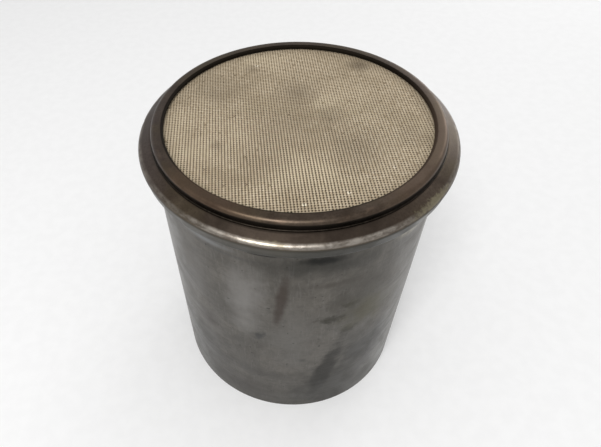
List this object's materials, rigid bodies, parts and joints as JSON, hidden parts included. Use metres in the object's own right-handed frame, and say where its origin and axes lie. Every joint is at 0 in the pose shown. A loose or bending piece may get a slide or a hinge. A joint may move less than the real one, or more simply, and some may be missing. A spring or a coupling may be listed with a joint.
{
  "type": "canned exhaust particulate filter",
  "caption": "Ceramic honeycomb in a rolled steel can, held by a fibre mat, with a V clamp flange round the inlet end and a pressed retaining ring at each end.",
  "frame": {"origin": "centre of the outlet end, on the filter's axis, at the lowest edge of the can", "axes": "+Z runs along the filter's axis from the outlet end to the inlet end; +X and +Y are across it, and the long seam of the shell is on +Y"},
  "size_m": [0.2816, 0.2816, 0.3137],
  "materials": {
    "shell_steel": "satin rolled stainless steel with water and heat stains",
    "flange_steel": "semi-gloss heat-tinted brown steel, worn bright on the nose",
    "ring_steel": "semi-gloss heat-tinted brown pressed steel, sooty inside",
    "weld_steel": "as-welded steel bead",
    "seal_mesh": "knitted steel wire, dark",
    "mat_fibre": "matte ceramic fibre mat",
    "ceramic_skin": "matte unglazed cement skin",
    "ceramic_core": "matte unglazed porous ceramic",
    "ceramic_face": "matte unglazed porous ceramic with soot blotches"
  },
  "bodies": {
    "root": {"shell_tube": "shell_steel", "shell_seam_weld": "weld_steel", "clamp_flange": "flange_steel", "flange_weld": "weld_steel", "inlet_end_ring": "ring_steel", "inlet_ring_weld": "weld_steel", "inlet_mesh_seal": "seal_mesh", "outlet_end_ring": "ring_steel", "outlet_ring_weld": "weld_steel", "outlet_mesh_seal": "seal_mesh", "support_mat": "mat_fibre", "monolith_skin": "ceramic_skin", "monolith_core": "ceramic_core", "inlet_plug_layer": "ceramic_face", "outlet_plug_layer": "ceramic_face"}
  },
  "joints": []
}
